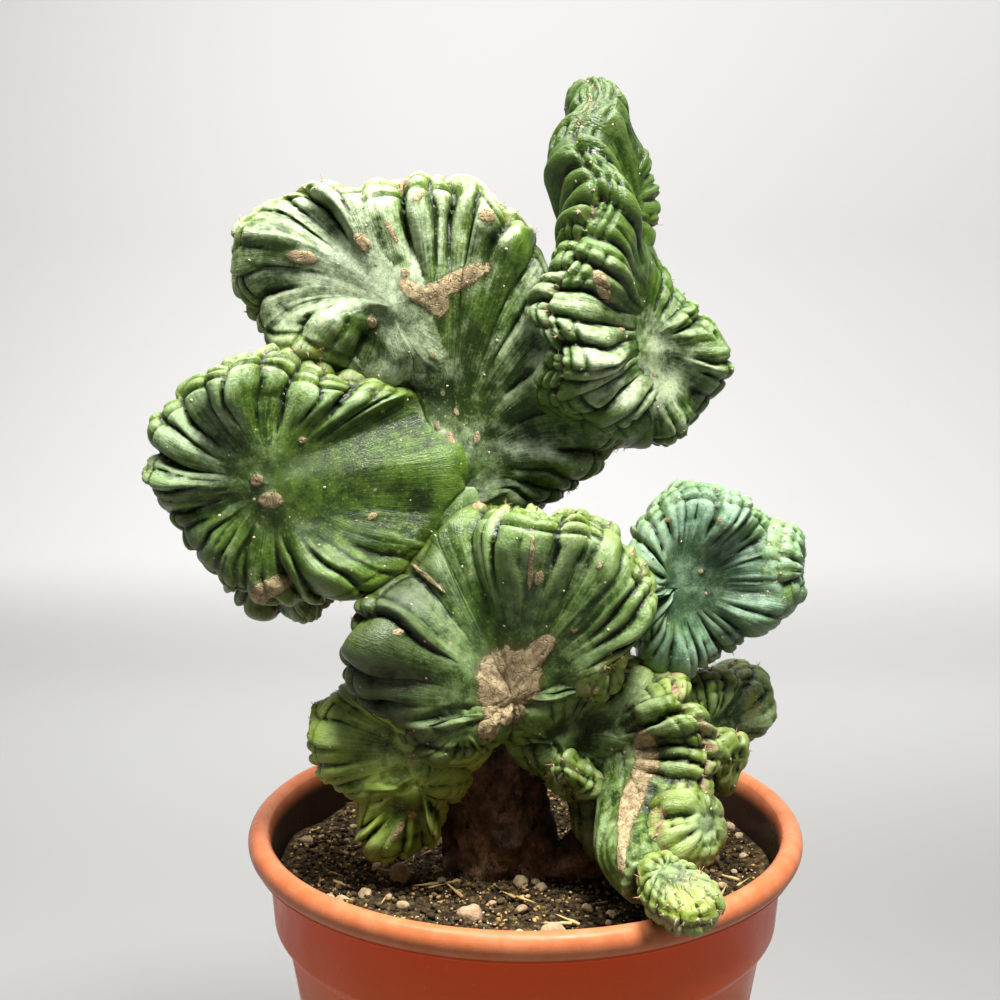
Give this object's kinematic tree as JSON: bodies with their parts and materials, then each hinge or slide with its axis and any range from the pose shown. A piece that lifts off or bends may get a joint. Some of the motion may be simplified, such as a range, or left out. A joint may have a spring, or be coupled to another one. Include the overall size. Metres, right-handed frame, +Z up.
{
  "type": "potted crested myrtillocactus",
  "caption": "Crested cactus of folded, ribbed fans on a woody trunk, standing in gritty soil in a round plastic nursery pot.",
  "frame": {"origin": "centre of the pot's flat underside", "axes": "+Z up, the fans' broad faces towards -Y, the tall crest towards +X"},
  "size_m": [0.1956, 0.1744, 0.3653],
  "materials": {
    "pot": "glossy terracotta-coloured plastic",
    "soil": "dark gritty potting soil",
    "pebble": "rough tan pebble",
    "bark": "corky dark brown bark",
    "crest_green": "deep green skin with a grey waxy bloom",
    "crest_fresh": "fresh green skin",
    "crest_blue": "blue-green skin with a waxy bloom",
    "crest_young": "yellow-green young skin"
  },
  "bodies": {
    "root": {"pot": "pot", "soil": "soil", "pebble_1": "pebble", "pebble_2": "pebble", "pebble_3": "pebble", "pebble_4": "pebble", "pebble_5": "pebble", "pebble_6": "pebble", "pebble_7": "pebble", "pebble_8": "pebble", "pebble_9": "pebble", "trunk": "bark", "crest_upper": "crest_green", "crest_left": "crest_green", "crest_middle": "crest_green", "crest_tall": "crest_fresh", "crest_blue": "crest_blue", "crest_low_left": "crest_young", "crest_low_right": "crest_young"}
  },
  "joints": []
}
